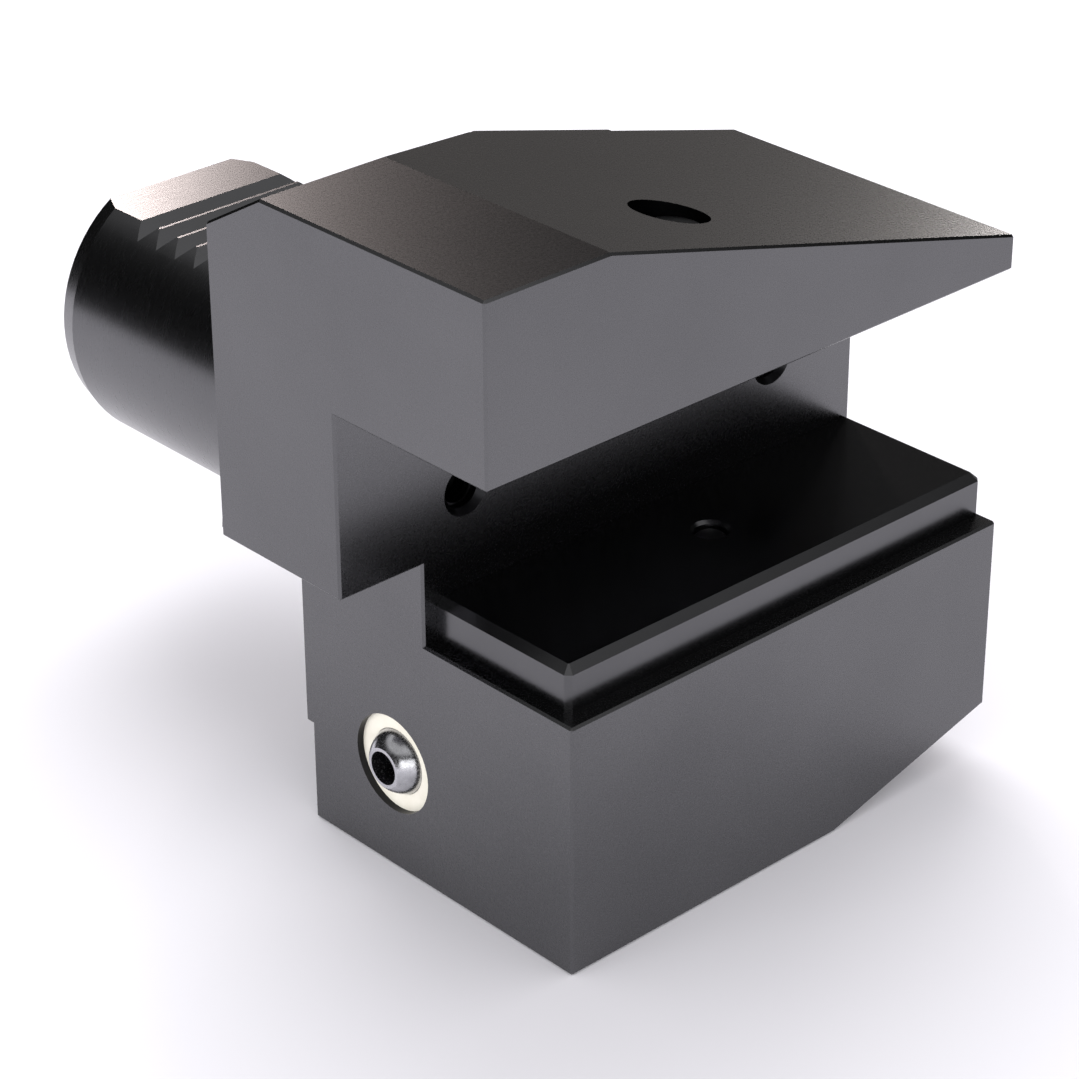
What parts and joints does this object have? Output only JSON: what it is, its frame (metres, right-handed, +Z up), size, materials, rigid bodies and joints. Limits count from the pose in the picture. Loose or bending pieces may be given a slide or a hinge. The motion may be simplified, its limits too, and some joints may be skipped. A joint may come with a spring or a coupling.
{
  "type": "vdi tool holder",
  "caption": "Turning-tool holder with toothed cylindrical shank, flange, crosswise slot with a screw-lifted clamping plate under a sloping jaw, and a swivelling coolant nozzle.",
  "frame": {"origin": "on the shank axis, at the flange's contact face", "axes": "+Y along the shank, away from the slot; +Z up, towards the jaw; the turning tool lies along X"},
  "size_m": [0.085, 0.1113, 0.0904],
  "materials": {
    "black_steel": "black oxide, satin",
    "black_plate": "black oxide, satin",
    "screw_steel": "black oxide, turned",
    "spring_steel": "drawn wire",
    "ring_plastic": "turned, cream",
    "polished_steel": "polished",
    "seal_rubber": "matte"
  },
  "bodies": {
    "holder": {"holder_body": "black_steel", "shank_seal": "seal_rubber", "inlet_seal": "seal_rubber", "nozzle_ring": "ring_plastic", "plate_spring": "spring_steel"},
    "plate": {"clamp_plate": "black_plate", "plate_screw": "screw_steel"},
    "left_screw": {"clamp_screw_left": "screw_steel"},
    "right_screw": {"clamp_screw_right": "screw_steel"},
    "top_pad": {"top_screw_pad": "screw_steel"},
    "top_screw": {"top_clamp_screw": "screw_steel"},
    "nozzle_seat": {"nozzle_seal": "seal_rubber"},
    "nozzle": {"nozzle_ball": "polished_steel"}
  },
  "joints": [
    {"name": "plate_lift", "type": "slide", "parent": "holder", "child": "plate", "axis": [0, 0, 1], "range_m": [0, 0.0035], "deforming": ["plate_spring"]},
    {"name": "left_screw_turn", "type": "hinge", "parent": "plate", "child": "left_screw", "pos_m": [-0.0128, -0.033, -0.02], "axis": [0, 0, 1], "range_deg": [0, 721]},
    {"name": "right_screw_turn", "type": "hinge", "parent": "plate", "child": "right_screw", "pos_m": [0.0272, -0.033, -0.02], "axis": [0, 0, 1], "range_deg": [0, 721]},
    {"name": "top_screw_feed", "type": "slide", "parent": "holder", "child": "top_pad", "axis": [0, 0, -1], "range_m": [0, 0.006]},
    {"name": "top_screw_turn", "type": "hinge", "parent": "top_pad", "child": "top_screw", "pos_m": [-0.00244, -0.03475, 0.034], "axis": [0, 0, -1], "range_deg": [0, 1441]},
    {"name": "nozzle_turn", "type": "hinge", "parent": "holder", "child": "nozzle_seat", "pos_m": [-0.0281, -0.0166, -0.0276], "axis": [1, 0, 0], "continuous": true},
    {"name": "nozzle_tilt", "type": "hinge", "parent": "nozzle_seat", "child": "nozzle", "pos_m": [-0.0281, -0.0166, -0.0276], "axis": [0, 1, 0], "range_deg": [-15, 15]}
  ],
  "couplings": [
    {"joint": "left_screw_turn", "follows": "plate_lift", "rad_per_m": 3590.4},
    {"joint": "right_screw_turn", "follows": "plate_lift", "rad_per_m": 3590.4},
    {"joint": "top_screw_turn", "follows": "top_screw_feed", "rad_per_m": 4188.8}
  ]
}
